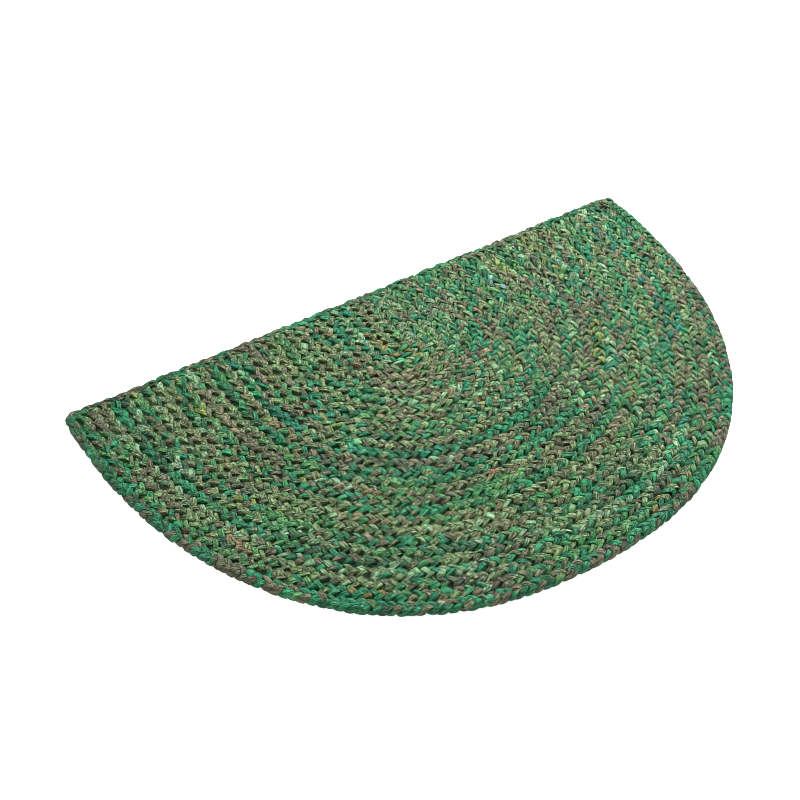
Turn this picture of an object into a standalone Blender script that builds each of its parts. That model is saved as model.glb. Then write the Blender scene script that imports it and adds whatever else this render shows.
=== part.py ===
"""Half-moon braided rug: a field of U-shaped rows, cut straight across and bound by one border braid.

Metres, +Z up. The origin is on the floor at the middle of the rug's box. The straight edge runs
along X on the +Y side, and the round side faces -Y. In the functions below a plan point is
(x, depth), where depth is measured from the straight edge towards the round side.
"""

import math
from collections import namedtuple

import bmesh
import bpy
import numpy as np

# Driving sizes of the rug
HALF_WIDTH = 0.400
LEG_LENGTH = 0.096  # how far the rows run straight before their round ends
THICKNESS = 0.0107
ROWS = 28  # U-shaped rows between the centre braid and the border
OUTLINE_POWER = 2.306  # of the superellipse that the round side follows; 2 would be an ellipse
CORNER_RADIUS = 0.0146  # of the border's outer side at the two corners
KNUCKLE_PITCH = 0.0102  # between the border's knuckles on one side
GAP = 0.0003  # between the field and the border

# Worked out from them
DEPTH = HALF_WIDTH + LEG_LENGTH
BRAID_WIDTH = HALF_WIDTH / (ROWS + 1.5)  # half the centre braid, the rows and the border
FIELD_REACH = HALF_WIDTH - BRAID_WIDTH - GAP
FIELD_START = BRAID_WIDTH + GAP
FIELD_CORNER = CORNER_RADIUS - BRAID_WIDTH - GAP

# The ridge of one row: flat to its shoulders, which are a share of the braid's width from its
# middle, then sloping to the furrow where it is sewn to the next
SHOULDER = 0.22
FURROW_HEIGHT = 0.0072
END_SLOPE = 0.005  # length in which the cut ends dip to the border's seam
ROUND_STEPS = 32

# Half of the border's section, from the floor over one side. Shares of half the width and of the
# thickness, with how far a knuckle on that side moves the point out and up, and a dip between
# knuckles moves it in and down.
SectionPoint = namedtuple("SectionPoint", "across height push_out push_up")
BORDER_SIDE = (
    SectionPoint(across=0.56, height=0.00, push_out=0.00, push_up=0.00),
    SectionPoint(across=0.94, height=0.42, push_out=0.06, push_up=0.02),
    SectionPoint(across=0.60, height=0.91, push_out=0.08, push_up=0.09),
)
BORDER_CREST = 0.93  # height of the middle line, as a share of the thickness

BISECTIONS = 40
FINE_STEPS = 400  # points in the round side's line, before it is divided evenly

# Colours and finish, linear
RAG_GREEN = (0.055, 0.185, 0.095, 1.0)
BORDER_GREEN = (0.030, 0.160, 0.080, 1.0)
RAG_ROUGHNESS = 0.9


def clear_scene():
    for old in list(bpy.data.objects):
        bpy.data.objects.remove(old, do_unlink=True)


def rag_material(name, colour):
    """Matt woven cotton rag."""
    material = bpy.data.materials.new(name)
    material.use_nodes = True
    shader = material.node_tree.nodes["Principled BSDF"]
    shader.inputs["Base Color"].default_value = colour
    shader.inputs["Roughness"].default_value = RAG_ROUGHNESS
    shader.inputs["Metallic"].default_value = 0.0
    material.diffuse_color = colour
    return material


def outline_reach(depth, angle):
    """Distance from the rug's middle line, at a depth, to the rug's outline at an angle from +X."""
    near, far = 0.0, 2 * HALF_WIDTH
    for _ in range(BISECTIONS):
        middle = (near + far) / 2
        across = abs(middle * math.cos(angle)) / HALF_WIDTH
        along = (depth + middle * math.sin(angle)) / DEPTH
        if across**OUTLINE_POWER + along**OUTLINE_POWER < 1:
            near = middle
        else:
            far = middle
    return near


def row_point(depth, angle, distance):
    """Plan point of the U-shaped row whose legs are a distance from the middle line.

    Rows near the middle are a straight-sided U with a round end. Towards the rim they take on
    the outline's shape.
    """
    trim = HALF_WIDTH - outline_reach(depth, angle)
    blend = min(distance / FIELD_REACH, 1.0) ** 2
    radius = distance - trim * blend
    return radius * math.cos(angle), depth + radius * math.sin(angle)


def leg_and_round(start, leg_depths, round_steps):
    """Stations (depth, angle) along a row: down the left leg, round the end and up the right."""
    legs = [start, *leg_depths]
    left = [(depth, math.pi) for depth in legs]
    ends = [(LEG_LENGTH, math.pi * (1 - i / round_steps)) for i in range(round_steps + 1)]
    right = [(depth, 0.0) for depth in reversed(legs)]
    return left + ends + right


def world(plan_point, height):
    x, depth = plan_point
    return x, DEPTH / 2 - depth, height


def field_rings():
    """(distance, height) of each line of the field's top, from the middle line to the rim."""
    rings = [(0.0, THICKNESS), (SHOULDER * BRAID_WIDTH, THICKNESS)]
    for row in range(1, ROWS + 1):
        rings.append(((row - 0.5) * BRAID_WIDTH, FURROW_HEIGHT))
        rings.append(((row - SHOULDER) * BRAID_WIDTH, THICKNESS))
        rings.append(((row + SHOULDER) * BRAID_WIDTH, THICKNESS))
    rings.append((FIELD_REACH, FURROW_HEIGHT))
    return rings


def coiled_field():
    """The field: a flat underside, and a top raised in one ridge for each row of braid."""
    slope_end = FIELD_START + END_SLOPE
    leg_middle = (slope_end + LEG_LENGTH) / 2
    bm = bmesh.new()
    lines = []
    rings = field_rings()
    for distance, height in rings:
        is_rim = distance == FIELD_REACH
        start = FIELD_START + (FIELD_CORNER if is_rim else 0.0)
        stations = leg_and_round(start, (slope_end, leg_middle), ROUND_STEPS)
        heights = [height] * len(stations)
        heights[0] = heights[-1] = FURROW_HEIGHT
        line = [
            bm.verts.new(world(row_point(depth, angle, distance), z))
            for (depth, angle), z in zip(stations, heights)
        ]
        lines.append(line)
    for inner, outer in zip(lines, lines[1:]):
        for i in range(len(inner) - 1):
            bm.faces.new((inner[i], inner[i + 1], outer[i + 1], outer[i]))

    # The wall stands on the rim and on the last ridge's cut ends, which frame the straight cut
    rim = [lines[-2][0], *lines[-1], lines[-2][-1]]
    floor = [bm.verts.new((v.co.x, v.co.y, 0.0)) for v in rim]
    for i in range(len(rim) - 1):
        bm.faces.new((rim[i], rim[i + 1], floor[i + 1], floor[i]))
    left_ends = [line[0] for line in lines[:-1]]
    right_ends = [line[-1] for line in lines[1:-1]]
    bm.faces.new((floor[0], *reversed(left_ends), *right_ends, floor[-1]))
    bm.faces.new(floor)

    # The legs of the middle line lie on each other
    bmesh.ops.remove_doubles(bm, verts=bm.verts, dist=1e-6)
    return finished_object("coiled_field", bm, rag_material("cotton rag field", RAG_GREEN))


def border_line():
    """Plan points along the border's middle, closed and clockwise from the straight edge's middle."""
    inset = BRAID_WIDTH / 2
    bend = CORNER_RADIUS - inset
    corner_x = HALF_WIDTH - CORNER_RADIUS
    quarter = np.linspace(0, math.pi / 2, 13)
    first_corner = [(corner_x + bend * math.sin(a), CORNER_RADIUS - bend * math.cos(a)) for a in quarter]
    leg_depths = np.linspace(CORNER_RADIUS, LEG_LENGTH, 12)[1:-1]
    stations = leg_and_round(CORNER_RADIUS, leg_depths, FINE_STEPS)[::-1]
    round_side = [row_point(depth, angle, HALF_WIDTH - inset) for depth, angle in stations]
    last_corner = [(-x, depth) for x, depth in reversed(first_corner)]
    middle = (0.0, inset)
    return np.array([middle, *first_corner, *round_side, *last_corner, middle])


def evenly(points, steps):
    """Points at even distances along a closed line, and the way out of it at each, in plan."""
    steps_between = np.hypot(*np.diff(points, axis=0).T)
    kept = points[np.append(True, steps_between > 1e-9)]
    along = np.append(0.0, np.cumsum(np.hypot(*np.diff(kept, axis=0).T)))
    total = along[-1]
    wanted = np.arange(steps) * total / steps

    def at(distance):
        distance = np.mod(distance, total)
        return np.stack([np.interp(distance, along, kept[:, i]) for i in range(2)], axis=1)

    reach = BRAID_WIDTH / 10
    forward = at(wanted + reach) - at(wanted - reach)
    forward /= np.hypot(*forward.T)[:, None]
    outward = np.stack([forward[:, 1], -forward[:, 0]], axis=1)
    return at(wanted), outward


def border_section(inner_knuckle):
    """(across, height) points round the border's section. Across is positive outwards.

    inner_knuckle is 1 where the inner side has a knuckle and the outer a dip, and -1 in between.
    """
    def side(sign, knuckle):
        return [
            (
                sign * (p.across + p.push_out * knuckle) * BRAID_WIDTH / 2,
                (p.height + p.push_up * knuckle) * THICKNESS,
            )
            for p in BORDER_SIDE
        ]

    inner = side(-1, inner_knuckle)
    outer = side(1, -inner_knuckle)
    return [*inner, (0.0, BORDER_CREST * THICKNESS), *reversed(outer)]


def border_braid():
    """The border: one flat-bottomed braid round the whole edge, with its knuckles by turns."""
    line = border_line()
    length = np.hypot(*np.diff(line, axis=0).T).sum()
    steps = 2 * round(length / KNUCKLE_PITCH)
    centres, outward = evenly(line, steps)
    bm = bmesh.new()
    rings = []
    for i, (centre, out) in enumerate(zip(centres, outward)):
        section = border_section(1 if i % 2 == 0 else -1)
        rings.append([bm.verts.new(world(centre + out * across, z)) for across, z in section])
    for here, there in zip(rings, rings[1:] + rings[:1]):
        for j in range(len(here)):
            k = (j + 1) % len(here)
            bm.faces.new((here[j], there[j], there[k], here[k]))
    return finished_object("border_braid", bm, rag_material("cotton rag border", BORDER_GREEN))


def finished_object(name, bm, material):
    bmesh.ops.recalc_face_normals(bm, faces=bm.faces)
    mesh = bpy.data.meshes.new(name)
    bm.to_mesh(mesh)
    bm.free()
    mesh.materials.append(material)
    return bpy.data.objects.new(name, mesh)


def main():
    clear_scene()
    collection = bpy.data.collections.new("braided rug")
    bpy.context.scene.collection.children.link(collection)
    for piece in (coiled_field(), border_braid()):
        collection.objects.link(piece)


main()
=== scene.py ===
"""Half-moon rug of braided cotton rag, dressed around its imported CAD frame.

The rug is nested U-shaped rows of three-strand braid, cut straight across and bound by one
border braid. Every strand is modelled: it sways from side to side, passes over and under the
other two, and carries the dyes of the rag strips it was pieced from.
"""

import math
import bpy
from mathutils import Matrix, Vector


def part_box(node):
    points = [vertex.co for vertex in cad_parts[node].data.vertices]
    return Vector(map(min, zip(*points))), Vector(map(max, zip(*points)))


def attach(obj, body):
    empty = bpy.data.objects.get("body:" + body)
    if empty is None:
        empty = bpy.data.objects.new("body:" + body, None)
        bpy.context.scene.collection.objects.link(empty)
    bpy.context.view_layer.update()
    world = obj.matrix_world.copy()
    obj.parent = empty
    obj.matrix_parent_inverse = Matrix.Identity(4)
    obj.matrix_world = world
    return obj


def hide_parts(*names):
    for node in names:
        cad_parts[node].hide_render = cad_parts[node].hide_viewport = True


bl_info = {
    "name": "Half-Moon Braided Rug",
    "version": (1, 0, 0),
    "blender": (4, 5, 0),
    "location": "View3D > Sidebar > Rug",
    "description": "Adds a half-moon rug of braided cotton rag, with its floor, lights and camera",
    "category": "Add Mesh",
}

from collections import namedtuple

import bmesh
import bpy
import numpy as np
from bpy.props import FloatProperty, FloatVectorProperty, IntProperty, PointerProperty
from mathutils import Vector

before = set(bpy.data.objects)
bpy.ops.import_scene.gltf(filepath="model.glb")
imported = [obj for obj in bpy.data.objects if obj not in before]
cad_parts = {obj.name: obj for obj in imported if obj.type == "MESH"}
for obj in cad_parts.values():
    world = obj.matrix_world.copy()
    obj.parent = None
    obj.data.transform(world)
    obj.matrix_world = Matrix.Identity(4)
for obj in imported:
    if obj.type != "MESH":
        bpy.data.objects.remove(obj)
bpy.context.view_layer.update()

MM = 0.001

# The rug's main sizes, from its CAD nodes
RUG_LOW, RUG_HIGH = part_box("border_braid")
HALF_WIDTH = (RUG_HIGH.x - RUG_LOW.x) / 2
DEPTH = RUG_HIGH.y - RUG_LOW.y
BACK = RUG_HIGH.y
THICKNESS = RUG_HIGH.z
LEG_LENGTH = DEPTH - HALF_WIDTH

SEED = 73

# How the plait is stretched: this far up a row's legs, and in full only in rows of this length
# or more
LEG_REACH = 150 * MM
LONG_ROW = 650 * MM

# What the strands of a stretched plait lose, as powers of the stretch
SWAY_POWER = -0.3
LIFT_POWER = -0.7
WIDTH_POWER = -0.2

# Along the border the smooth braid fades into the full one over this length, and this share of
# it is left at the corner
SMOOTH_FADE = 30 * MM
SMOOTH_CORNER = 0.2

# How steeply a strand rises, and how far before the middle of its swing, in radians
RISE_STEEPNESS = 2.0
RISE_LEAD = 0.45

# How uneven the braiding is, and over what length that changes: the strands' place across the
# braid, their height, their tilt in radians, their timing and the whole plait's in turns
Drift = namedtuple("Drift", "amount reach")
ACROSS_DRIFT = Drift(0.8 * MM, 14 * MM)
HEIGHT_DRIFT = Drift(0.8 * MM, 12 * MM)
TILT_DRIFT = Drift(0.25, 14 * MM)
TIMING_DRIFT = Drift(0.08, 25 * MM)
PLAIT_DRIFT = Drift(0.06, 90 * MM)

# How uneven a folded strip is: its width and thickness as shares, the place of its folds round
# it in radians, and the depth of its dye
WIDTH_DRIFT = Drift(0.32, 12 * MM)
THICKNESS_DRIFT = Drift(0.3, 12 * MM)
FOLD_DRIFT = Drift(1.5, 18 * MM)
DYE_DRIFT = Drift(0.2, 8 * MM)

# Spread of the random values behind a drift, which keeps most of them within its amount
DRIFT_SPREAD = 0.6

# A strip's section: the shares of its rumples, of three folds and of two, and the power that
# makes it boxy, where 1 is round
RUMPLES = 0.12
THREE_FOLDS = 0.09
TWO_FOLDS = 0.07
BOXY_POWER = 0.6

# How the braids are pressed: from how far inside the rug's top and its rim, and the share that
# is left of what goes beyond
TOP_PRESS, TOP_KEPT = 0.6 * MM, 0.5
RIM_PRESS, RIM_KEPT = 0.8 * MM, 0.35

# How far out the crown of a braid goes on dropping, in half widths of the braid
CROWN_REACH = 1.2

# A row's end goes this far under the border, and dips there by this share of its height
ROW_END = 4 * MM
END_DIP = 0.15

# The centre braid goes on past the legs by this share of a row's width
CENTRE_TIP = 0.3

# The mean radius of a strand, and the height of the squashed rag's lower and upper side
STRAND_RADIUS = 3.2 * MM
PACKED_LOW, PACKED_HIGH = 3.2 * MM, 5.0 * MM

# The painted shade in a gap is gone this far from the strand beside it. At a braid's side it
# reaches this far past the row's own width. A strand is sought this many rings to either side.
GAP_FADE = 1.2 * MM
SIDE_REACH = 1.8 * MM
RINGS_BESIDE = 5

# Rings of a strand for each plait, and points round each ring
ROW_RINGS, ROW_SIDES = 17, 10
BORDER_RINGS, BORDER_SIDES = 20, 12

# Points on a line in plan along a leg, the round end and a corner, steps in the search for the
# outline, and the distance below which two points are one
LEG_POINTS, ROUND_POINTS, CORNER_POINTS = 60, 500, 25
OUTLINE_STEPS = 40
SAME_POINT = 1e-7

# Metres between the patterns of two strands, so that no two show the same stretch
PATTERN_STEP = 2.0

# On the flat map, the margin beside a strand as a share of its band, and the radius of a cut
# end as a share of its cell
MAP_MARGIN = 0.05
MAP_END = 0.4

# The camera's angles in degrees, what it looks at and from how far, from a fit of the rug's edge
CAMERA_AZIMUTH = -32.106
CAMERA_ELEVATION = 45.105
CAMERA_AIM = (-0.0510, 0.0689, 0)
CAMERA_DISTANCE = 1.5297

# The lamp, and the floor just below the rug, in metres
KEY_LIGHT_PLACE = (1.5, 1.3, 1.85)
KEY_LIGHT_SIZE = 0.7
FLOOR_SIZE = 12.0
FLOOR_DROP = 0.2 * MM

# The ground is pure white and shows no shadow, so the floor glows faintly
FLOOR_GLOW = 0.6


def linear(hex_colour):
    """A linear RGB triple from an sRGB hex value."""
    channels = [int(hex_colour[i : i + 2], 16) / 255 for i in (1, 3, 5)]
    return tuple(c / 12.92 if c <= 0.04045 else ((c + 0.055) / 1.055) ** 2.4 for c in channels)


# The dyes are written as they look in the picture. The studio's light brightens the rag by
# about this much, so each dye's own colour is darker by as much.
LIGHT_LEVEL = 1.88

# Dyes of the rag. fleck is how strongly a strip is mottled by its print and its fuzzy cut edges.
Dye = namedtuple("Dye", "colour fleck")
DYES = {
    "emerald": Dye("#269867", 0.20),
    "green": Dye("#409454", 0.35),
    "teal": Dye("#1a9175", 0.15),
    "forest": Dye("#2f7048", 0.40),
    "leaf": Dye("#62a561", 0.60),
    "mint": Dye("#92c290", 0.55),
    "sage": Dye("#82a067", 0.85),
    "olive": Dye("#869a60", 0.80),
    "lime": Dye("#98ae55", 0.35),
    "brown": Dye("#7b7b5e", 0.45),
    "taupe": Dye("#82865f", 0.55),
    "grey": Dye("#657558", 0.45),
    "tan": Dye("#989268", 0.45),
    "ochre": Dye("#a29a55", 0.35),
    "rust": Dye("#9c7f5e", 0.35),
    "sky": Dye("#84b3ad", 0.25),
}
# Painted shade, as the share of the light that is left on rag deep between two strands, and on
# rag that turns down at a strand's side, the most of it green
GAP_SHADE = np.array((0.44, 0.58, 0.39))
SIDE_SHADE = (0.64, 0.73, 0.59)

# Dyes that turn up in any row, and in any part of the border, as often as they are written
COMMON_DYES = (
    "sage sage sage olive leaf leaf green green green green emerald forest mint taupe".split()
)
BORDER_DYES = "emerald emerald forest forest green teal brown grey".split()

# What a strand is pieced from: where each kind of piece has its dye from, the share of all
# pieces up to which the kind goes, and its shortest and longest in mm. The dye that a row's
# strands share lasts for the stretch below.
RagPieces = namedtuple("RagPieces", "dye_from up_to shortest longest")
RAG_PIECES = (
    RagPieces("shared", 0.25, 15, 50),
    RagPieces("own", 0.56, 15, 60),
    RagPieces("row", 0.75, 12, 35),
    RagPieces("common", 1.0, 12, 40),
)
SHARED_STRETCH = 45 * MM

# How far the pieces differ in hue, in depth of dye and in the strength of their print
HUE_SPREAD = 0.04
DEPTH_SPREAD = 0.11
FLECK_SPREAD = 0.2

# Where the dyes of the right leg, the round end and the left leg meet, as shares of a row's
# length, and how far a strand's own place for that is from there at most
ZONE_EDGES = (0.3, 0.7)
ZONE_SHIFT = 0.06

# What each row is braided from, rim first: dyes of its left leg, its round end and its right leg.
# The first three of each are its strands' own, and any more turn up only in short lengths.
RowPlan = namedtuple("RowPlan", "row left centre right")
ROW_PLANS = (
    RowPlan(28, "brown leaf emerald rust", "leaf emerald brown ochre", "brown olive emerald olive"),
    RowPlan(27, "leaf brown sage rust", "sage olive grey emerald", "brown sage emerald olive"),
    RowPlan(26, "mint brown sage leaf", "emerald sage mint brown", "mint leaf emerald teal"),
    RowPlan(25, "emerald emerald forest tan", "forest sage brown leaf", "olive brown teal sage"),
    RowPlan(24, "sage mint forest olive", "sage emerald forest taupe", "emerald sage taupe leaf"),
    RowPlan(23, "emerald brown leaf lime", "emerald taupe sage grey", "emerald leaf olive mint"),
    RowPlan(22, "sage sage grey olive", "olive sage sage mint", "mint emerald leaf sage"),
    RowPlan(21, "olive taupe sage mint", "olive tan taupe sage", "sage olive leaf mint"),
    RowPlan(20, "emerald brown sage tan", "emerald leaf emerald brown", "taupe emerald brown leaf"),
    RowPlan(19, "leaf emerald brown lime", "taupe leaf grey brown", "mint emerald olive teal"),
    RowPlan(18, "mint brown tan rust", "tan sage taupe rust", "lime olive emerald tan"),
    RowPlan(17, "sage brown leaf lime", "emerald leaf emerald forest", "grey brown sage olive"),
    RowPlan(16, "forest emerald taupe sage", "emerald taupe grey sage", "emerald sage mint taupe"),
    RowPlan(15, "tan sage taupe sky", "grey taupe brown tan", "emerald brown green taupe"),
    RowPlan(14, "emerald teal sage brown", "emerald forest emerald teal", "taupe sage brown lime"),
    RowPlan(13, "brown sage emerald mint", "brown olive sage ochre", "taupe sage leaf tan"),
    RowPlan(12, "olive emerald brown lime", "emerald grey leaf teal", "sage mint emerald sky"),
    RowPlan(11, "emerald brown sage tan", "olive sage emerald ochre", "emerald teal leaf olive"),
    RowPlan(10, "sage olive emerald tan", "taupe tan leaf brown", "leaf taupe emerald tan"),
    RowPlan(9, "olive sage leaf taupe", "taupe sage emerald sage", "sage brown emerald leaf"),
    RowPlan(8, "sage mint olive emerald", "mint emerald tan leaf", "emerald taupe leaf rust"),
    RowPlan(7, "leaf sage taupe teal", "sage emerald brown mint", "mint brown emerald sage"),
    RowPlan(6, "sage emerald tan leaf", "sage leaf brown tan", "emerald sage taupe olive"),
    RowPlan(5, "tan emerald sage rust", "tan taupe leaf rust", "taupe mint emerald lime"),
    RowPlan(4, "sage taupe emerald mint", "sage taupe olive lime", "emerald leaf brown teal"),
    RowPlan(3, "mint emerald leaf sage", "emerald mint leaf lime", "leaf emerald taupe sage"),
    RowPlan(2, "emerald sage brown teal", "emerald forest ochre teal", "emerald taupe sage mint"),
    RowPlan(1, "sage olive leaf taupe", "sage olive mint tan", "olive sage emerald taupe"),
    RowPlan(0, "sage olive taupe leaf", "sage olive taupe mint", "sage olive taupe leaf"),
)
# The border starts and ends in the middle of the straight edge, so that each half of that edge
# has the dyes of its leg
BORDER_PLAN = RowPlan(
    29, "forest emerald brown forest", "emerald emerald brown leaf", "emerald green taupe leaf"
)


class RugSizes(bpy.types.PropertyGroup):
    """The rug's plan."""

    rows: IntProperty(
        name="Rows", description="U-shaped rows between the centre braid and the border",
        default=28, min=1,
    )
    outline_power: FloatProperty(
        name="Outline Power", description="Of the superellipse of the round side",
        default=2.306, min=2, max=4,
    )
    corner_radius: FloatProperty(
        name="Corner Radius", description="Of the border's outer side at the corners",
        default=14.6 * MM, unit="LENGTH", precision=4,
    )


def braid_length(name, description, default):
    """A length of a braid, in metres."""
    return FloatProperty(
        name=name, description=description, default=default, unit="LENGTH", precision=4
    )


class FieldBraid(bpy.types.PropertyGroup):
    """The braid of the rows, whose strands cross straight over and dive at its sides."""

    plait: braid_length("Plait", "Length in which a strand crosses over and back", 33.4 * MM)
    sway: braid_length("Sway", "How far a strand swings from the braid's middle", 5.2 * MM)
    lift: braid_length("Lift", "How far a strand rises where it crosses over", 2.4 * MM)
    strip_width: braid_length("Strip Width", "Width of the folded strip of rag", 7.2 * MM)
    strip_thickness: braid_length(
        "Strip Thickness", "Thickness of the folded strip of rag", 5.8 * MM
    )
    side: FloatProperty(
        name="Side",
        description="Shape of a strand's turn at the side: pointed below 0, flat above",
        default=-0.1,
    )
    swell: FloatProperty(
        name="Swell", description="How much thicker a strand is at the side of the braid",
        default=0.3, min=0,
    )
    crown: braid_length("Crown", "How much lower the braid is at its sides", 0.8 * MM)
    stretched_crown: braid_length(
        "Stretched Crown", "How much lower still where the plait is twice as long", 2.4 * MM
    )
    left_stretch: FloatProperty(
        name="Left Stretch",
        description="How much longer the plait is where the rows end at the left", default=0.5,
    )
    right_stretch: FloatProperty(
        name="Right Stretch",
        description="How much longer the plait is where the rows end at the right", default=0.3,
    )


class BorderBraid(bpy.types.PropertyGroup):
    """The braid of the border, pulled tighter, so that its outer side is nearly smooth.

    It is smoothest along the straight edge and at the start of the left leg.
    """

    plait: braid_length("Plait", "Length in which a strand crosses over and back", 30.5 * MM)
    sway: braid_length("Sway", "How far a strand swings from the braid's middle", 4.4 * MM)
    lift: braid_length("Lift", "How far a strand rises where it crosses over", 2.1 * MM)
    strip_width: braid_length("Strip Width", "Width of the folded strip of rag", 7.2 * MM)
    strip_thickness: braid_length(
        "Strip Thickness", "Thickness of the folded strip of rag", 5.8 * MM
    )
    side: FloatProperty(
        name="Side",
        description="Shape of a strand's turn at the side: pointed below 0, flat above",
        default=0.06,
    )
    swell: FloatProperty(
        name="Swell", description="How much thicker a strand is at the side of the braid",
        default=0.55, min=0,
    )
    crown: braid_length("Crown", "How much lower the braid is at its sides", 1.1 * MM)
    stretched_crown: braid_length(
        "Stretched Crown", "How much lower still where the plait is twice as long", 1.0 * MM
    )
    smooth_leg: braid_length(
        "Smooth Leg", "How far down the left leg the straight edge's braid goes on", 90 * MM
    )
    smooth_stretch: FloatProperty(
        name="Smooth Stretch",
        description="How much longer the plait is along the straight edge", default=0.45,
    )
    smooth_sway: FloatProperty(
        name="Smooth Sway", description="Share of the sway that is left along the straight edge",
        default=0.75, min=0, max=1, subtype="FACTOR",
    )
    smooth_lift: FloatProperty(
        name="Smooth Lift", description="Share of the lift that is left along the straight edge",
        default=0.6, min=0, max=1, subtype="FACTOR",
    )


class StudioSettings(bpy.types.PropertyGroup):
    """The floor, lights and camera."""

    floor_colour: FloatVectorProperty(
        name="Floor", description="Colour of the floor", subtype="COLOR", size=3,
        default=linear("#f4f4f3"), min=0, max=1,
    )
    key_power: FloatProperty(
        name="Key Light", description="Power of the soft light behind the rug, at its right",
        default=152, unit="POWER",
    )
    sky_strength: FloatProperty(
        name="Sky", description="Strength of the even light all round", default=0.8, min=0
    )
    lens: FloatProperty(
        name="Lens", description="Focal length of the camera", default=58.65, unit="CAMERA"
    )


def add_node(tree, kind, inputs=None, **settings):
    """Adds a node, sets its settings, and gives its inputs values or links."""
    node = tree.nodes.new(kind)
    for name, value in settings.items():
        setattr(node, name, value)
    for name, value in (inputs or {}).items():
        socket = node.inputs[name]
        if isinstance(value, bpy.types.NodeSocket):
            tree.links.new(value, socket)
        else:
            socket.default_value = value
    return node


def new_material(name):
    """An empty material with its output node, and that node."""
    material = bpy.data.materials.new(name)
    material.use_nodes = True
    material.node_tree.nodes.clear()
    return material, add_node(material.node_tree, "ShaderNodeOutputMaterial")


def dyed_rag(name):
    """Woven cotton, dyed, some of it printed, torn in strips and folded lengthwise.

    To the eye it is matt, with small folds along each strip, and the printed strips are mottled.
    Painted shade darkens the bottoms of the folds and the rag that turns down at a strand's side.
    The colour of the dyed rag, with painted shade in the gaps between strands, and the strength of
    the print come from the strand.
    The patterns lie on the strand as on a straight cord, so they follow it through the braid.
    """
    material, output = new_material(name)
    tree = material.node_tree
    dye = add_node(tree, "ShaderNodeAttribute", attribute_name="dye").outputs["Color"]
    fleck = add_node(tree, "ShaderNodeAttribute", attribute_name="fleck").outputs["Fac"]
    place = add_node(tree, "ShaderNodeAttribute", attribute_name="strip_place").outputs["Vector"]

    # Print of dark flecks and pale ones, 2.5 mm long and 1.5 mm wide. They stand for a finer
    # print too, and for the weave with 0.4 mm between its threads, which is too fine to show.
    fleck_scale = (1 / (2.5 * MM), 1 / (1.5 * MM), 1 / (1.5 * MM))
    fleck_place = add_node(
        tree, "ShaderNodeMapping", {"Vector": place, "Scale": fleck_scale}
    ).outputs["Vector"]
    flecks = add_node(
        tree, "ShaderNodeTexNoise",
        {"Vector": fleck_place, "Scale": 1.0, "Detail": 2.0, "Roughness": 0.6},
    ).outputs["Fac"]
    colour = dye
    for none_at, full_at, strength, print_colour in (
        (0.48, 0.38, 0.8, "#1c3322"), (0.53, 0.64, 0.45, "#a9bb9c"),
    ):
        share = add_node(
            tree, "ShaderNodeMapRange",
            {"Value": flecks, "From Min": none_at, "From Max": full_at, "To Max": strength},
        ).outputs["Result"]
        share = add_node(
            tree, "ShaderNodeMath", {0: share, 1: fleck}, operation="MULTIPLY"
        ).outputs[0]
        colour = add_node(
            tree, "ShaderNodeMix", {"Factor": share, "A": colour, "B": (*linear(print_colour), 1)},
            data_type="RGBA",
        ).outputs["Result"]

    # Small folds about 3 mm apart that run along the strip, sharp at their bottoms, which are
    # darkened with painted shade. Some real ones are only 1 mm apart, which is too fine to show, so
    # all are drawn this coarse.
    fold_scale = (1 / (8 * MM), 1 / (3.2 * MM), 1 / (3.2 * MM))
    fold_place = add_node(
        tree, "ShaderNodeMapping", {"Vector": place, "Scale": fold_scale}
    ).outputs["Vector"]
    wavy = add_node(
        tree, "ShaderNodeTexNoise",
        {
            "Vector": fold_place, "Scale": 1.0, "Detail": 1.5, "Roughness": 0.6,
            "Distortion": 0.8,
        },
    ).outputs["Fac"]
    off_line = add_node(tree, "ShaderNodeMath", {0: wavy, 1: 0.5}, operation="SUBTRACT").outputs[0]
    off_line = add_node(tree, "ShaderNodeMath", {0: off_line}, operation="ABSOLUTE").outputs[0]
    folds = add_node(
        tree, "ShaderNodeMapRange", {"Value": off_line, "From Max": 0.12},
        interpolation_type="SMOOTHSTEP",
    ).outputs["Result"]
    fold_shade = add_node(
        tree, "ShaderNodeMapRange",
        {"Value": off_line, "From Max": 0.07, "To Min": 0.28, "To Max": 1.08},
    ).outputs["Result"]
    colour = add_node(
        tree, "ShaderNodeVectorMath", {0: colour, "Scale": fold_shade}, operation="SCALE"
    ).outputs["Vector"]

    # Painted shade: the rag is darker and greener where it turns down between its neighbours, as
    # little light reaches it there
    facing = add_node(tree, "ShaderNodeNewGeometry").outputs["Normal"]
    facing = add_node(tree, "ShaderNodeSeparateXYZ", {"Vector": facing}).outputs["Z"]
    facing = add_node(tree, "ShaderNodeMath", {0: facing}, operation="ABSOLUTE").outputs[0]
    facing = add_node(
        tree, "ShaderNodeMapRange", {"Value": facing, "From Min": 0.25, "From Max": 0.8},
        interpolation_type="SMOOTHSTEP",
    ).outputs["Result"]
    facing = add_node(
        tree, "ShaderNodeMix", {"Factor": facing, "A": (*SIDE_SHADE, 1), "B": (1, 1, 1, 1)},
        data_type="RGBA",
    ).outputs["Result"]
    colour = add_node(
        tree, "ShaderNodeVectorMath", {0: colour, 1: facing}, operation="MULTIPLY"
    ).outputs["Vector"]

    bump = add_node(
        tree, "ShaderNodeBump", {"Height": folds, "Strength": 1.0, "Distance": 1.0 * MM}
    ).outputs["Normal"]
    bump = add_node(
        tree, "ShaderNodeBump",
        {"Height": flecks, "Strength": 1.0, "Distance": 1.0 * MM, "Normal": bump},
    ).outputs["Normal"]
    shader = add_node(
        tree, "ShaderNodeBsdfPrincipled",
        {"Base Color": colour, "Roughness": 0.7, "Specular IOR Level": 0.25, "Normal": bump},
    )
    tree.links.new(shader.outputs["BSDF"], output.inputs["Surface"])
    return material


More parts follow.
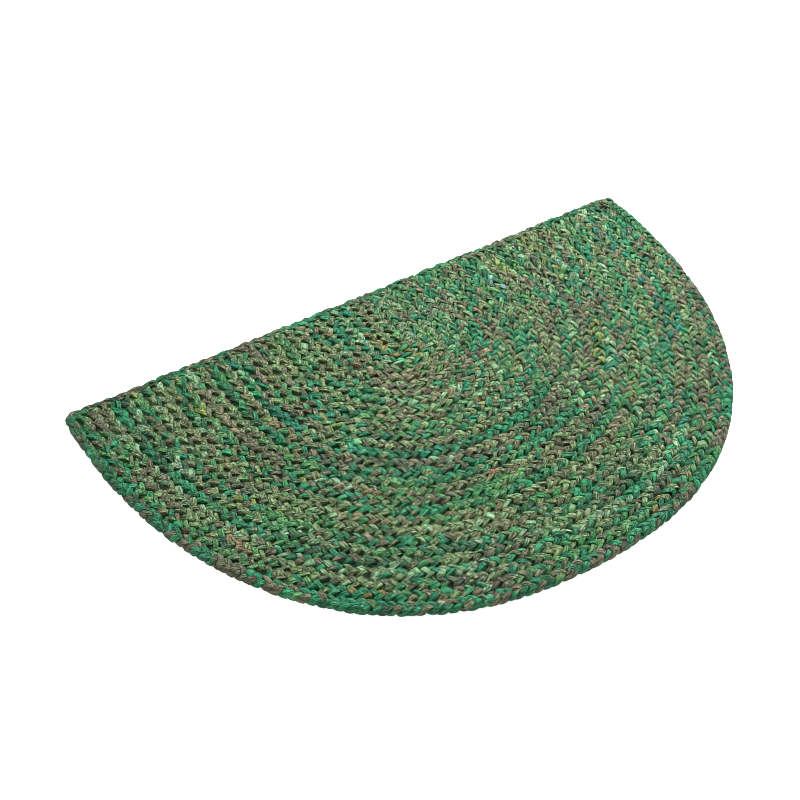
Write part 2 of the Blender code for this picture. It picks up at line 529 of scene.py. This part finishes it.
def packed_cotton_in_shade():
    """Woven cotton squashed inside the braids, matt and fuzzy. Its dark green is painted shade, as
    the rag deep inside the braids is in shade.

    Real fuzz is finer than 1 mm. It is drawn 2.5 mm across, so that it shows.
    """
    material, output = new_material("packed cotton, painted shade")
    tree = material.node_tree
    place = add_node(tree, "ShaderNodeTexCoord").outputs["Object"]
    fuzz = add_node(
        tree, "ShaderNodeTexNoise", {"Vector": place, "Scale": 1 / (2.5 * MM), "Detail": 3.0}
    ).outputs["Fac"]
    # Both colours are painted shade, darker than the rag's own dyes
    colours = add_node(tree, "ShaderNodeValToRGB", {"Fac": fuzz})
    colours.color_ramp.elements[0].color = (*linear("#1c3020"), 1)
    colours.color_ramp.elements[1].color = (*linear("#44603f"), 1)
    bump = add_node(
        tree, "ShaderNodeBump", {"Height": fuzz, "Distance": 0.5 * MM}
    ).outputs["Normal"]
    shader = add_node(
        tree, "ShaderNodeBsdfPrincipled",
        {"Base Color": colours.outputs["Color"], "Roughness": 0.95, "Normal": bump},
    )
    tree.links.new(shader.outputs["BSDF"], output.inputs["Surface"])
    return material


def row_width(sizes):
    """The width of one row of braid."""
    return HALF_WIDTH / (sizes.rows + 1.5)


def smooth_step(share):
    """A share from 0 to 1, eased at both ends."""
    return share * share * (3 - 2 * share)


def outline_reach(depth, angle, power):
    """Distance from the rug's middle line, at a depth, to its outline at an angle from +X."""
    near = np.zeros_like(angle)
    far = np.full_like(angle, 2 * HALF_WIDTH)
    for _ in range(OUTLINE_STEPS):
        middle = (near + far) / 2
        across = np.abs(middle * np.cos(angle)) / HALF_WIDTH
        along = (depth + middle * np.sin(angle)) / DEPTH
        inside = across**power + along**power < 1
        near = np.where(inside, middle, near)
        far = np.where(inside, far, middle)
    return near


class Line:
    """A line in plan, with the distance along it and the way out of the rug at each point."""

    def __init__(self, points, closed=False):
        keep = np.append(True, np.hypot(*np.diff(points, axis=0).T) > SAME_POINT)
        self.points = points[keep]
        self.along = np.append(0.0, np.cumsum(np.hypot(*np.diff(self.points, axis=0).T)))
        self.length = self.along[-1]
        self.closed = closed

    def at(self, distance):
        """The points at some distances along the line."""
        if self.closed:
            distance = np.mod(distance, self.length)
        x, y = self.points.T
        return np.stack(
            [np.interp(distance, self.along, x), np.interp(distance, self.along, y)], axis=-1
        )

    def outward(self, distance):
        """The way out of the rug at some distances along the line, square to it."""
        step = 1.5 * MM
        if self.closed:
            forward = self.at(distance + step) - self.at(distance - step)
        else:
            ends = np.clip(distance, step, self.length - step)
            forward = self.at(ends + step) - self.at(ends - step)
        forward /= np.hypot(*forward.T)[:, None]
        return np.stack([-forward[:, 1], forward[:, 0]], axis=1)


def round_side(distance, start, sizes):
    """Plan points of the U at a distance from the middle line, from the right leg to the left."""
    leg = np.linspace(start, LEG_LENGTH, LEG_POINTS)
    turn = np.linspace(0, math.pi, ROUND_POINTS)
    depth = np.concatenate([leg[:-1], np.full_like(turn, LEG_LENGTH), leg[-2::-1]])
    angle = np.concatenate([np.zeros(len(leg) - 1), turn, np.full(len(leg) - 1, math.pi)])
    trim = HALF_WIDTH - outline_reach(depth, angle, sizes.outline_power)
    radius = distance - trim * min(distance / (HALF_WIDTH - row_width(sizes)), 1.0) ** 2
    return np.stack([radius * np.cos(angle), BACK - depth - radius * np.sin(angle)], axis=1)


def row_line(row, sizes):
    """The middle of a row, from under the border at the right to under it at the left."""
    width = row_width(sizes)
    start = width - ROW_END
    if row:
        return Line(round_side(row * width, start, sizes))
    return Line(np.array([[0.0, BACK - LEG_LENGTH - width * CENTRE_TIP], [0.0, BACK - start]]))


def border_line(sizes):
    """The middle of the border, closed, clockwise from the middle of the straight edge."""
    inset = row_width(sizes) / 2
    bend = sizes.corner_radius - inset
    centre_x = HALF_WIDTH - sizes.corner_radius
    centre_y = BACK - sizes.corner_radius
    quarter = np.linspace(0, math.pi / 2, CORNER_POINTS)
    right = np.stack([centre_x + bend * np.sin(quarter), centre_y + bend * np.cos(quarter)], axis=1)
    left = right[::-1] * (-1, 1)
    far_side = round_side(HALF_WIDTH - inset, sizes.corner_radius, sizes)
    middle = np.array([[0.0, BACK - inset]])
    return Line(np.concatenate([middle, right, far_side, left, middle]), closed=True)


def wander(rng, along, total, drift):
    """Smooth random values along a strand, as large and as slow as a drift says.

    They meet at the ends, so that a closed strand has no seam.
    """
    count = max(4, round(total / drift.reach))
    knots = rng.normal(0, DRIFT_SPREAD, count)
    place = along / total * count
    here = np.floor(place).astype(int)
    part = smooth_step(place - here)
    return drift.amount * (knots[here % count] * (1 - part) + knots[(here + 1) % count] * part)


def strand_dyes(rng, strand, along, total, plan, shared):
    """The dye of a strand at each ring and how flecked it is there.

    shared picks one of the zone's first three dyes for each stretch of the row. A strand takes
    that one for a quarter of its pieces and its own dye for a third. The rest are shorter pieces
    of any of the zone's dyes and of the common ones.
    """
    colours = np.zeros((len(along), 3))
    flecks = np.zeros(len(along))
    zones = [zone.split() for zone in (plan.right, plan.centre, plan.left)]
    common = BORDER_DYES if plan is BORDER_PLAN else COMMON_DYES
    edges = total * (np.array(ZONE_EDGES) + rng.uniform(-ZONE_SHIFT, ZONE_SHIFT, 2))
    start = 0.0
    while start < total:
        names = zones[int(np.searchsorted(edges, start))]
        share = rng.random()
        pieces = next(kind for kind in RAG_PIECES if share < kind.up_to)
        if pieces.dye_from == "shared":
            name = names[shared[int(start / SHARED_STRETCH)]]
        elif pieces.dye_from == "own":
            name = names[strand]
        else:
            name = rng.choice(names if pieces.dye_from == "row" else common)
        length = rng.uniform(pieces.shortest, pieces.longest) * MM
        dye = DYES[name]
        here = (along >= start) & (along < start + length)
        tint = rng.normal(0, HUE_SPREAD, 3) + rng.normal(0, DEPTH_SPREAD)
        colours[here] = np.array(linear(dye.colour)) / LIGHT_LEVEL * np.exp(tint)
        flecks[here] = np.clip(dye.fleck + rng.normal(0, FLECK_SPREAD), 0, 1)
        start += length
    colours *= np.exp(wander(rng, along, total, DYE_DRIFT))[:, None]
    return colours, flecks


def strand_path(line, along, turn, stretch, shape, rng):
    """Middle of a strand at each ring, and the ways that its strip is wide and is thick there."""
    sway, lift = shape.sway, shape.lift
    if line.closed:
        smooth = smooth_share(line, along, shape)
        sway = sway * (1 - smooth * (1 - shape.smooth_sway))
        lift = lift * (1 - smooth * (1 - shape.smooth_lift))
    else:
        sway = sway * stretch**SWAY_POWER
        lift = lift * stretch**LIFT_POWER
    across = sway * (np.sin(turn) + shape.side * np.sin(3 * turn))
    across = across + wander(rng, along, line.length, ACROSS_DRIFT)
    # The strand is over the others for nearly half a swing, from before the middle to the side
    rise = lift * np.tanh(RISE_STEEPNESS * np.sin(2 * turn + RISE_LEAD))
    height = THICKNESS / 2 + rise + wander(rng, along, line.length, HEIGHT_DRIFT)
    middle = np.column_stack([line.at(along) + line.outward(along) * across[:, None], height])
    if line.closed:
        ahead = np.roll(middle, -1, axis=0) - np.roll(middle, 1, axis=0)
    else:
        ahead = np.gradient(middle, axis=0)
        middle[:, 2] *= 1 - END_DIP * np.exp(-np.minimum(along, line.length - along) / ROW_END)
    ahead /= np.linalg.norm(ahead, axis=1)[:, None]
    left = np.cross((0, 0, 1), ahead)
    left /= np.linalg.norm(left, axis=1)[:, None]
    up = np.cross(ahead, left)
    tilt = wander(rng, along, line.length, TILT_DRIFT)[:, None]
    wide = np.cos(tilt) * left - np.sin(tilt) * up
    thick = np.cos(tilt) * up + np.sin(tilt) * left
    return middle, wide, thick


def pressed(value, limit, kept):
    """A value, with only a share kept of what goes beyond a limit."""
    return np.minimum(value, limit + kept * (value - limit))


def boxy(share, power):
    """A share between -1 and 1, moved away from 0 by a power below 1."""
    return np.sign(share) * np.abs(share) ** power


def strip_section(along, total, turn, stretch, sides, shape, rng):
    """Points round a folded and rumpled strip at each ring: how far out by width and thickness."""
    def drift(kind):
        return wander(rng, along, total, kind)[:, None]

    around = np.arange(sides) / sides * math.tau
    fold = around + drift(FOLD_DRIFT)
    rumples = rng.normal(0, RUMPLES, (len(along), sides))
    rumples = (np.roll(rumples, -1, axis=0) + 2 * rumples + np.roll(rumples, 1, axis=0)) / 4
    bulge = 1 + THREE_FOLDS * np.cos(3 * fold) + TWO_FOLDS * np.cos(2 * fold) + rumples
    swell = 1 + shape.swell * np.sin(turn)[:, None] ** 2
    half_width = shape.strip_width / 2 * stretch[:, None] ** WIDTH_POWER * (1 + drift(WIDTH_DRIFT))
    half_thickness = shape.strip_thickness / 2 * (1 + drift(THICKNESS_DRIFT))
    by_width = half_width * boxy(np.cos(around), BOXY_POWER) * bulge
    by_thickness = half_thickness * boxy(np.sin(around), BOXY_POWER) * bulge * swell
    return by_width, by_thickness


def clearance(points, middles, lateral, room):
    """How clear each point is of the strands beside it: 0 in the gap between two, 1 well clear.

    lateral is each point's place across its braid, and room the space to its two sides.
    """
    nearest = np.full(points.shape[:3], np.inf)
    for shift in range(-RINGS_BESIDE, RINGS_BESIDE + 1):
        beside = np.roll(middles, shift, axis=1)
        for other in (1, 2):
            apart = points - np.roll(beside, other, axis=0)[:, :, None]
            nearest = np.minimum(nearest, np.linalg.norm(apart, axis=-1))
    to_strand = (nearest - STRAND_RADIUS) / GAP_FADE
    to_side = (np.minimum(room[0] + lateral, room[1] - lateral) + SIDE_REACH) / GAP_FADE
    return smooth_step(np.clip(np.minimum(to_strand, to_side), 0, 1))


def smooth_share(line, along, shape):
    """How smooth the border is at each ring.

    It is 1 along the straight edge and at the start of the left leg, and 0 on the round side.
    """
    to_middle = np.minimum(along, line.length - along - shape.smooth_leg)
    return smooth_step(np.clip((HALF_WIDTH - to_middle) / SMOOTH_FADE + SMOOTH_CORNER, 0, 1))


def leg_shares(line, along):
    """How far each ring of a row is on its left leg and on its right leg: 1 at the leg's end."""
    left_end = line.length - along
    return np.exp(-((left_end / LEG_REACH) ** 2)), np.exp(-((along / LEG_REACH) ** 2))


def plait_turns(along, line, shape):
    """Turns of the plait up to each ring, and how far it is stretched there.

    A row is stretched on its legs, and the border where it is smooth.
    """
    if line.closed:
        stretch = 1 + shape.smooth_stretch * smooth_share(line, along, shape)
        plaits = line.length / shape.plait * np.mean(1 / stretch)
        length = shape.plait * stretch * plaits / round(plaits)
    else:
        left, right = leg_shares(line, along)
        long_row = min(1.0, line.length / LONG_ROW) ** 2
        stretch = 1 + long_row * (shape.left_stretch * left + shape.right_stretch * right)
        length = shape.plait * stretch
    return np.append(0.0, np.cumsum(along[1] / length[:-1])), stretch


def braid(name, line, shape, plan, sizes, rings_per_plait, sides):
    """A mesh of three strands of rag, plaited along a line in plan and pressed flat."""
    rng = np.random.default_rng(SEED + plan.row)
    rings = round(line.length / shape.plait * rings_per_plait)
    along = np.arange(rings if line.closed else rings + 1) / rings * line.length
    turns, stretch = plait_turns(along, line, shape)
    start = rng.random() + wander(rng, along, line.length, PLAIT_DRIFT)
    shared = rng.integers(0, 3, math.ceil(line.length / SHARED_STRETCH) + 1)
    points, middles, dyes_and_gap_shade, flecks = [], [], [], []
    for strand in range(3):
        late = wander(rng, along, line.length, TIMING_DRIFT)
        turn = math.tau * (turns + strand / 3 + start + late)
        middle, wide, thick = strand_path(line, along, turn, stretch, shape, rng)
        by_width, by_thickness = strip_section(
            along, line.length, turn, stretch, sides, shape, rng
        )
        ring = middle[:, None] + by_width[..., None] * wide[:, None]
        ring = ring + by_thickness[..., None] * thick[:, None]
        ring[..., 2] = np.maximum(pressed(ring[..., 2], THICKNESS - TOP_PRESS, TOP_KEPT), 0.0)
        points.append(ring)
        middles.append(middle)
        strand_colours, strand_flecks = strand_dyes(rng, strand, along, line.length, plan, shared)
        dyes_and_gap_shade.append(strand_colours)
        flecks.append(strand_flecks)
    points = np.array(points)

    # The border's outer side is pressed smooth, and every braid is lower at its sides
    outward = line.outward(along)[:, None]
    lateral = ((points[..., :2] - line.at(along)[:, None]) * outward).sum(axis=-1)
    half = row_width(sizes) / 2
    if line.closed:
        shift = pressed(lateral, half - RIM_PRESS, RIM_KEPT) - lateral
        points[..., :2] += shift[..., None] * outward
    crown = shape.crown + shape.stretched_crown * (stretch - 1)
    crown = crown[:, None] * np.clip(lateral / half, -CROWN_REACH, CROWN_REACH) ** 2
    drop = crown * np.clip(points[..., 2] / THICKNESS, 0, 1)
    points[..., 2] = np.maximum(points[..., 2] - drop, 0.0)

    # Only the border has nothing beside its outer side
    room = (half, math.inf if line.closed else half)
    clear = clearance(points, np.array(middles), lateral, room)[..., None]
    # Painted shade, dark and green, goes into the colours in the gaps between strands and at the
    # braid's sides
    dyes_and_gap_shade = np.array(dyes_and_gap_shade)[:, :, None] * (GAP_SHADE + (1 - GAP_SHADE) * clear)
    return strand_mesh(name, points, line, plan.row, dyes_and_gap_shade, np.array(flecks))


def strand_mesh(name, points, line, row, dyes_and_gap_shade, flecks):
    """A mesh of three tubes through rings of points, with the attributes that their rag reads."""
    strands, steps, sides, _ = points.shape
    rings = steps if line.closed else steps - 1

    # Strand, ring and side of each face's corners, counted on past the last ring and side
    strand, ring, side = (index.reshape(-1, 1) for index in np.indices((strands, rings, sides)))
    ring = ring + (0, 0, 1, 1)
    side = side + (0, 1, 1, 0)
    faces = ((strand * steps + ring % steps) * sides + side % sides).tolist()
    angle = side / sides * math.tau
    place = np.stack([
        ring / rings * line.length + (row * strands + strand) * PATTERN_STEP,
        STRAND_RADIUS * np.cos(angle), STRAND_RADIUS * np.sin(angle),
    ], axis=-1).reshape(-1, 3)

    # The map lays each strand out in bands, one above the other, and the cut ends in the last
    round_trips = strands * line.length / (math.tau * STRAND_RADIUS)
    band_count = max(1, round(math.sqrt(round_trips) / strands))
    band_rings = math.ceil(rings / band_count)
    bands = strands * band_count + 1
    first_ring = ring[:, :1]
    band = strand * band_count + first_ring // band_rings
    u = (ring - first_ring + first_ring % band_rings) / band_rings
    v = (band + MAP_MARGIN + (1 - 2 * MAP_MARGIN) * side / sides) / bands
    flat_map = np.stack(np.broadcast_arrays(u, v), axis=-1).reshape(-1, 2)

    if not line.closed:
        around = np.arange(sides)
        end_angle = around / sides * math.tau
        for end in range(2 * strands):
            order = around if end % 2 else around[::-1]
            first = (end // 2 * steps + (steps - 1 if end % 2 else 0)) * sides
            faces.append((first + order).tolist())
            circle = np.stack([np.cos(end_angle[order]), np.sin(end_angle[order])], axis=1)
            end_place = np.column_stack([np.full(sides, end), STRAND_RADIUS * circle])
            place = np.concatenate([place, end_place])
            centre = ((end + 0.5) / (2 * strands), 1 - 0.5 / bands)
            end_map = centre + circle * (MAP_END / (2 * strands), MAP_END / bands)
            flat_map = np.concatenate([flat_map, end_map])

    mesh = bpy.data.meshes.new(name)
    mesh.from_pydata(points.reshape(-1, 3), [], faces)
    colours = np.concatenate([dyes_and_gap_shade, np.ones_like(dyes_and_gap_shade[..., :1])], axis=-1)
    for attribute, kind, domain, field, values in (
        ("dye", "FLOAT_COLOR", "POINT", "color", colours),
        ("fleck", "FLOAT", "POINT", "value", np.repeat(flecks, sides, axis=1)),
        ("strip_place", "FLOAT_VECTOR", "CORNER", "vector", place),
    ):
        data = mesh.attributes.new(attribute, kind, domain).data
        data.foreach_set(field, values.astype(np.float32).ravel())
    mesh.uv_layers.new(name="OFBake").data.foreach_set("uv", flat_map.astype(np.float32).ravel())

    # The folds along a strand stay sharp, and the rest is smooth
    mesh.shade_smooth()
    edges = np.empty(2 * len(mesh.edges), dtype=np.int32)
    mesh.edges.foreach_get("vertices", edges)
    lengthwise = np.ptp(edges.reshape(-1, 2) // sides, axis=1) > 0
    mesh.attributes.new("sharp_edge", "BOOLEAN", "EDGE").data.foreach_set("value", lengthwise)
    return mesh


def packed_sheet(name, sizes, low, high):
    """A closed sheet inside the braids, from the middle of the border to its other side."""
    inset = row_width(sizes) / 2
    outline = Line(round_side(HALF_WIDTH - inset, inset, sizes)).points
    count = len(outline)
    points = [(x, y, z) for z in (low, high) for x, y in outline]
    walls = [(i, (i + 1) % count, (i + 1) % count + count, i + count) for i in range(count)]
    under, top = tuple(range(count))[::-1], tuple(range(count, 2 * count))
    mesh = bpy.data.meshes.new(name)
    mesh.from_pydata(points, [], [under, top, *walls])
    bm = bmesh.new()
    bm.from_mesh(mesh)
    bmesh.ops.recalc_face_normals(bm, faces=bm.faces)
    bm.to_mesh(mesh)
    bm.free()
    return mesh


def show(mesh, material, node):
    """Puts a finished mesh in the scene, riding on the rug and standing for its CAD node."""
    piece = bpy.data.objects.new(mesh.name, mesh)
    bpy.context.scene.collection.objects.link(piece)
    mesh.materials.append(material)
    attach(piece, "root")
    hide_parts(node)
    return piece


class RUG_OT_braided_rows(bpy.types.Operator):
    """Braid the centre and the U-shaped rows of the field"""

    bl_idname = "rug.braided_rows"
    bl_label = "Braided Rows"

    def execute(self, context):
        sizes = context.scene.rug_sizes
        material = dyed_rag("dyed cotton rag, field")
        for plan in reversed(ROW_PLANS):
            mesh = braid(
                f"braid_row_{plan.row:02d}", row_line(plan.row, sizes), context.scene.rug_field,
                plan, sizes, ROW_RINGS, ROW_SIDES,
            )
            show(mesh, material, "coiled_field")
        return {"FINISHED"}


class RUG_OT_border(bpy.types.Operator):
    """Braid the border round the whole edge"""

    bl_idname = "rug.border"
    bl_label = "Border Braid"

    def execute(self, context):
        sizes = context.scene.rug_sizes
        mesh = braid(
            "border", border_line(sizes), context.scene.rug_border, BORDER_PLAN, sizes,
            BORDER_RINGS, BORDER_SIDES,
        )
        show(mesh, dyed_rag("dyed cotton rag, border"), "border_braid")
        return {"FINISHED"}


class RUG_OT_packed_inside(bpy.types.Operator):
    """Fill the inside of the braids with one flat, closed sheet"""

    bl_idname = "rug.packed_inside"
    bl_label = "Packed Inside"

    def execute(self, context):
        sizes = context.scene.rug_sizes
        mesh = packed_sheet("packed_inside", sizes, PACKED_LOW, PACKED_HIGH)
        inside = show(mesh, packed_cotton_in_shade(), "coiled_field")
        return {"FINISHED"}


class RUG_OT_studio(bpy.types.Operator):
    """Add the floor, the lights and the camera"""

    bl_idname = "rug.studio"
    bl_label = "Studio"

    def execute(self, context):
        settings = context.scene.rug_studio
        self.floor(settings)
        self.lights(context, settings)
        self.camera(context, settings)
        return {"FINISHED"}

    def floor(self, settings):
        """A board in matt white paint, plain to the eye and with hardly any gloss."""
        bpy.ops.mesh.primitive_plane_add(size=FLOOR_SIZE, location=(0, 0, -FLOOR_DROP))
        floor = bpy.context.active_object
        floor.name = floor.data.name = "floor"
        material, output = new_material("matt white paint")
        tree = material.node_tree
        shader = add_node(
            tree, "ShaderNodeBsdfPrincipled",
            {
                "Base Color": (*settings.floor_colour, 1),
                "Roughness": 0.9, "Specular IOR Level": 0.2,
                "Emission Color": (1, 1, 1, 1), "Emission Strength": FLOOR_GLOW,
            },
        )
        tree.links.new(shader.outputs["BSDF"], output.inputs["Surface"])
        floor.data.materials.append(material)

    def lights(self, context, settings):
        """Even light all round, and a soft lamp that brings out the braid."""
        world = bpy.data.worlds.new("even studio light")
        context.scene.world = world
        world.use_nodes = True
        sky = world.node_tree.nodes["Background"]
        sky.inputs["Color"].default_value = (1, 1, 1, 1)
        sky.inputs["Strength"].default_value = settings.sky_strength
        lamp = bpy.data.lights.new("key light", "AREA")
        lamp.size = KEY_LIGHT_SIZE
        lamp.energy = settings.key_power
        key = bpy.data.objects.new("key light", lamp)
        key.location = KEY_LIGHT_PLACE
        key.rotation_euler = (-key.location).to_track_quat("-Z", "Y").to_euler()
        context.scene.collection.objects.link(key)
        context.scene.view_settings.view_transform = "Standard"
        # Crisp pixels, as in a sharp photograph
        context.scene.cycles.filter_width = 0.75

    def camera(self, context, settings):
        """The camera, aimed at the rug from in front and to its left."""
        elevation = math.radians(CAMERA_ELEVATION)
        azimuth = math.radians(CAMERA_AZIMUTH)
        back = Vector((
            math.sin(azimuth) * math.cos(elevation),
            -math.cos(azimuth) * math.cos(elevation),
            math.sin(elevation),
        ))
        camera = bpy.data.objects.new("camera", bpy.data.cameras.new("camera"))
        camera.data.lens = settings.lens
        camera.location = Vector(CAMERA_AIM) + back * CAMERA_DISTANCE
        camera.rotation_euler = (-back).to_track_quat("-Z", "Y").to_euler()
        context.scene.collection.objects.link(camera)
        context.scene.camera = camera


class VIEW3D_PT_braided_rug(bpy.types.Panel):
    """Lists the rug's sizes and the operators that make it"""

    bl_label = "Braided Rug"
    bl_space_type = "VIEW_3D"
    bl_region_type = "UI"
    bl_category = "Rug"

    def draw(self, context):
        layout = self.layout
        scene = context.scene
        for group in (scene.rug_sizes, scene.rug_field, scene.rug_border, scene.rug_studio):
            for name in group.__annotations__:
                layout.prop(group, name)
        for operator in (RUG_OT_braided_rows, RUG_OT_border, RUG_OT_packed_inside, RUG_OT_studio):
            layout.operator(operator.bl_idname)


CLASSES = (
    RugSizes, FieldBraid, BorderBraid, StudioSettings,
    RUG_OT_braided_rows, RUG_OT_border, RUG_OT_packed_inside, RUG_OT_studio,
    VIEW3D_PT_braided_rug,
)


def register():
    """Adds the rug's settings, operators and panel to Blender."""
    for cls in CLASSES:
        bpy.utils.register_class(cls)
    bpy.types.Scene.rug_sizes = PointerProperty(type=RugSizes)
    bpy.types.Scene.rug_field = PointerProperty(type=FieldBraid)
    bpy.types.Scene.rug_border = PointerProperty(type=BorderBraid)
    bpy.types.Scene.rug_studio = PointerProperty(type=StudioSettings)


def unregister():
    """Takes them out again."""
    del bpy.types.Scene.rug_studio
    del bpy.types.Scene.rug_border
    del bpy.types.Scene.rug_field
    del bpy.types.Scene.rug_sizes
    for cls in reversed(CLASSES):
        bpy.utils.unregister_class(cls)


def main():
    """Makes the whole scene."""
    register()
    bpy.ops.rug.studio()
    bpy.ops.rug.braided_rows()
    bpy.ops.rug.border()
    bpy.ops.rug.packed_inside()


if __name__ == "__main__":
    main()
